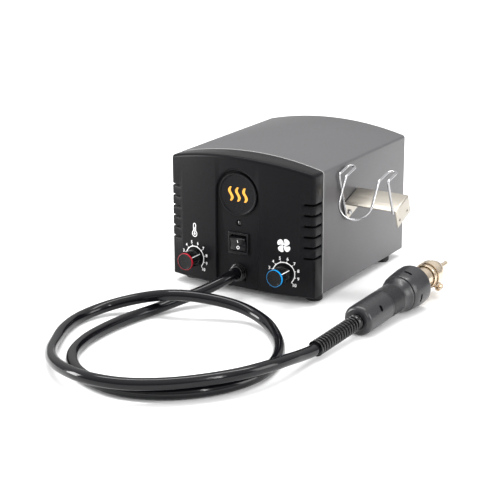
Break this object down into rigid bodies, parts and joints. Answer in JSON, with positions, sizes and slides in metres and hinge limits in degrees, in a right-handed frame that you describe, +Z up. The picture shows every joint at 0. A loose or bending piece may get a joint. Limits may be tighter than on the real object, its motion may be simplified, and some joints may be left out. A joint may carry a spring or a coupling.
{
  "type": "hot-air rework station",
  "caption": "Bench hot-air soldering station: arched control box with two dials, rocker switch and side cradle, joined by a long air hose to a round handpiece with a clamped nozzle.",
  "frame": {"origin": "centre of the footprint of everything but the hose and its strain relief, on the surface that the feet and the handpiece stand on", "axes": "+Z up, -Y out of the control panel, +X towards the side with the cradle and the handpiece"},
  "size_m": [0.2487, 0.4518, 0.1297],
  "materials": {
    "grey_paint": "satin dark grey powder coat",
    "black_plastic": "fine moulded texture",
    "black_rubber": "matt",
    "hose_rubber": "smooth, slightly glossy",
    "grey_plastic": "fine moulded texture",
    "red_plastic": "glossy",
    "blue_plastic": "glossy",
    "smoked_lens": "clear dark tint",
    "nickel": "warm nickel plating",
    "stainless": "brushed",
    "chrome": "polished",
    "zinc_steel": "zinc plated",
    "brass": "turned",
    "ceramic": "unglazed ceramic",
    "board_green": "solder mask",
    "copper": "enamelled wire",
    "aluminium": "plain",
    "laminated_iron": "varnished sheets",
    "silicone": "translucent"
  },
  "bodies": {
    "station": {"cover": "grey_paint", "base_pan": "zinc_steel", "rear_panel": "grey_paint", "front_bezel": "black_plastic", "hose_slot_insert": "black_plastic", "badge_disc": "black_plastic", "led_lens": "smoked_lens", "rocker_housing": "black_plastic", "rocker_pin": "zinc_steel", "temperature_potentiometer": "zinc_steel", "airflow_potentiometer": "zinc_steel", "hose_bushing": "black_rubber", "hose": "hose_rubber", "mains_inlet": "black_plastic", "inlet_pin_live": "zinc_steel", "inlet_pin_earth": "zinc_steel", "inlet_pin_neutral": "zinc_steel", "earth_terminal": "brass", "board_carrier": "black_plastic", "control_board": "board_green", "triac_heatsink": "aluminium", "capacitor": "black_plastic", "board_transformer": "laminated_iron", "pump_base": "aluminium", "pump_core": "laminated_iron", "pump_winding": "copper", "pump_head": "aluminium", "air_tube": "silicone", "holder_bracket": "stainless", "bracket_screw_front": "zinc_steel", "bracket_screw_rear": "zinc_steel", "wire_cradle": "chrome", "foot_front_left": "black_rubber", "foot_front_right": "black_rubber", "foot_rear_left": "black_rubber", "foot_rear_right": "black_rubber", "panel_screw_left": "zinc_steel", "panel_screw_right": "zinc_steel"},
    "rocker": {"rocker_paddle": "black_plastic"},
    "temperature_dial": {"temperature_knob": "black_plastic", "temperature_ring": "red_plastic", "temperature_shaft": "aluminium"},
    "airflow_dial": {"airflow_knob": "black_plastic", "airflow_ring": "blue_plastic", "airflow_shaft": "aluminium"},
    "handpiece": {"handpiece_barrel": "grey_plastic", "handpiece_grip": "grey_plastic", "handpiece_collar": "grey_plastic", "heater_tube": "nickel", "heater_core": "ceramic", "strain_relief": "black_rubber"},
    "nozzle_set": {"nozzle": "nickel", "nozzle_clamp": "nickel"},
    "nozzle_screw": {"clamp_screw": "nickel"},
    "fuse_carrier": {"fuse_drawer": "black_plastic", "fuse": "ceramic"},
    "pump_moving": {"pump_armature": "zinc_steel", "pump_diaphragm": "black_rubber"}
  },
  "joints": [
    {"name": "rocker_switch", "type": "hinge", "parent": "station", "child": "rocker", "pos_m": [-0.04522, -0.06672, 0.0488], "axis": [-1, 0, 0], "range_deg": [0, 16]},
    {"name": "temperature_turn", "type": "hinge", "parent": "station", "child": "temperature_dial", "pos_m": [-0.09237, -0.07952, 0.0282], "axis": [0, 1, 0], "range_deg": [-192, 78]},
    {"name": "airflow_turn", "type": "hinge", "parent": "station", "child": "airflow_dial", "pos_m": [0.00193, -0.07952, 0.0282], "axis": [0, 1, 0], "range_deg": [-192, 78]},
    {"name": "handpiece_lift", "type": "slide", "parent": "station", "child": "handpiece", "axis": [0, 0, 1], "range_m": [0, 0.06]},
    {"name": "nozzle_pull", "type": "slide", "parent": "handpiece", "child": "nozzle_set", "axis": [0.0557, 0.9968, 0.058], "range_m": [0, 0.022]},
    {"name": "clamp_screw_turn", "type": "hinge", "parent": "nozzle_set", "child": "nozzle_screw", "pos_m": [0.11407, 0.01509, 0.01004], "axis": [0.7037, -0.0804, 0.7059], "continuous": true},
    {"name": "fuse_drawer_pull", "type": "slide", "parent": "station", "child": "fuse_carrier", "axis": [0, 1, 0], "range_m": [0, 0.014]},
    {"name": "pump_shake", "type": "slide", "parent": "station", "child": "pump_moving", "axis": [1, 0, 0], "range_m": [-0.0012, 0.0012], "stiffness_N_per_m": 600}
  ]
}
